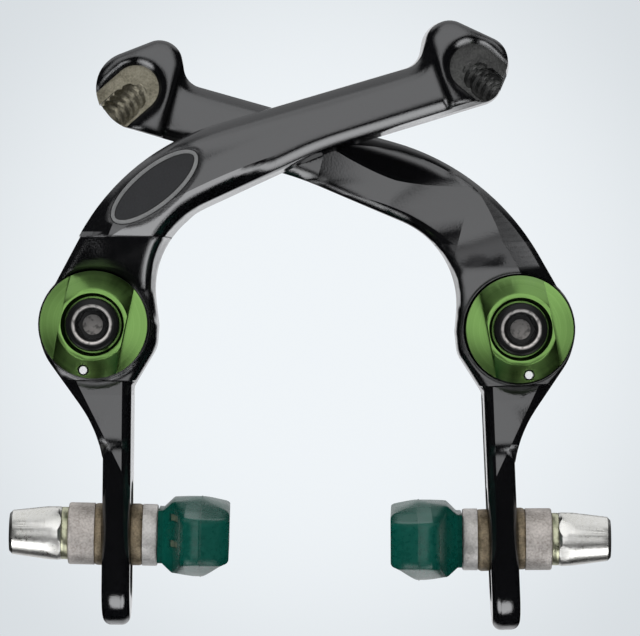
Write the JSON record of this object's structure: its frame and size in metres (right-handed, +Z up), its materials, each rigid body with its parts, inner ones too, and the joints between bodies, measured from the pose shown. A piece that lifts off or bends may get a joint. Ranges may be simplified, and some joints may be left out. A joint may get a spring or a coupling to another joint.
{
  "type": "u brake",
  "caption": "Pair of crossed forged arms on pivot bushes, with ridged cable sockets above and rubber pads on slotted legs below.",
  "frame": {"origin": "midway between the two frame studs, on the plane of their end faces where the pivot bolts clamp", "axes": "+X to the right seen from the front of the brake, +Y away from the viewer towards the frame, +Z up towards the cable"},
  "size_m": [0.1148, 0.0521, 0.1158],
  "materials": {
    "arm": "gloss black anodised forging",
    "bush": "turned, plain",
    "spring": "bright drawn wire",
    "adjuster": "green anodised",
    "bolt": "black oxide",
    "pad": "moulded, slightly glossy, teal",
    "stud": "zinc plated",
    "cup": "matte zinc, warm grey",
    "ball": "satin, brownish grey",
    "flat_washer": "yellowish zinc",
    "nut": "bright plated"
  },
  "bodies": {
    "frame_side": {"left_pivot_bush": "bush", "left_pivot_bolt": "bolt", "left_return_spring": "spring", "right_pivot_bush": "bush", "right_pivot_bolt": "bolt", "right_return_spring": "spring"},
    "left_swinging_arm": {"left_arm": "arm"},
    "left_adjuster": {"left_tension_adjuster": "adjuster"},
    "left_pad_carrier": {"left_inner_ball_washer": "ball", "left_outer_ball_washer": "ball"},
    "left_pad_clamp": {"left_inner_cup_washer": "cup", "left_outer_cup_washer": "cup", "left_nut_washer": "flat_washer", "left_cap_nut": "nut"},
    "left_pad_block": {"left_brake_pad": "pad", "left_pad_stud": "stud"},
    "right_swinging_arm": {"right_arm": "arm"},
    "right_adjuster": {"right_tension_adjuster": "adjuster"},
    "right_pad_carrier": {"right_inner_ball_washer": "ball", "right_outer_ball_washer": "ball"},
    "right_pad_clamp": {"right_inner_cup_washer": "cup", "right_outer_cup_washer": "cup", "right_nut_washer": "flat_washer", "right_cap_nut": "nut"},
    "right_pad_block": {"right_brake_pad": "pad", "right_pad_stud": "stud"}
  },
  "joints": [
    {"name": "left_arm_swing", "type": "hinge", "parent": "frame_side", "child": "left_swinging_arm", "pos_m": [-0.04, 0.0102, 0], "axis": [0, -1, 0], "range_deg": [-10, 12], "stiffness_Nm_per_rad": 0.26, "springref_deg": 3.04, "deforming": ["left_return_spring"]},
    {"name": "left_adjuster_turn", "type": "hinge", "parent": "frame_side", "child": "left_adjuster", "pos_m": [-0.04, 0, 0], "axis": [0, 1, 0], "range_deg": [-180, 180]},
    {"name": "left_pad_height", "type": "slide", "parent": "left_swinging_arm", "child": "left_pad_carrier", "axis": [0, 0, 1], "range_m": [-0.008, 0.006]},
    {"name": "left_pad_toe", "type": "hinge", "parent": "left_pad_carrier", "child": "left_pad_clamp", "pos_m": [-0.0357, 0.0102, -0.04], "axis": [0, 0, 1], "range_deg": [-3, 3]},
    {"name": "left_pad_turn", "type": "hinge", "parent": "left_pad_clamp", "child": "left_pad_block", "pos_m": [-0.0357, 0.0102, -0.04], "axis": [0.9997, 0.0227, -0.0122], "range_deg": [-15, 15]},
    {"name": "right_arm_swing", "type": "hinge", "parent": "frame_side", "child": "right_swinging_arm", "pos_m": [0.04, 0.0102, 0], "axis": [0, 1, 0], "range_deg": [-7, 15], "stiffness_Nm_per_rad": 0.26, "springref_deg": 3.04, "deforming": ["right_return_spring"]},
    {"name": "right_adjuster_turn", "type": "hinge", "parent": "frame_side", "child": "right_adjuster", "pos_m": [0.04, 0, 0], "axis": [0, 1, 0], "range_deg": [-180, 180]},
    {"name": "right_pad_height", "type": "slide", "parent": "right_swinging_arm", "child": "right_pad_carrier", "axis": [-0.0523, 0, 0.9986], "range_m": [-0.008, 0.006]},
    {"name": "right_pad_toe", "type": "hinge", "parent": "right_pad_carrier", "child": "right_pad_clamp", "pos_m": [0.0378, 0.0102, -0.04017], "axis": [-0.0523, 0, 0.9986], "range_deg": [-3, 3]},
    {"name": "right_pad_turn", "type": "hinge", "parent": "right_pad_clamp", "child": "right_pad_block", "pos_m": [0.0378, 0.0102, -0.04017], "axis": [-0.9996, 0.0227, -0.0157], "range_deg": [-15, 15]}
  ]
}
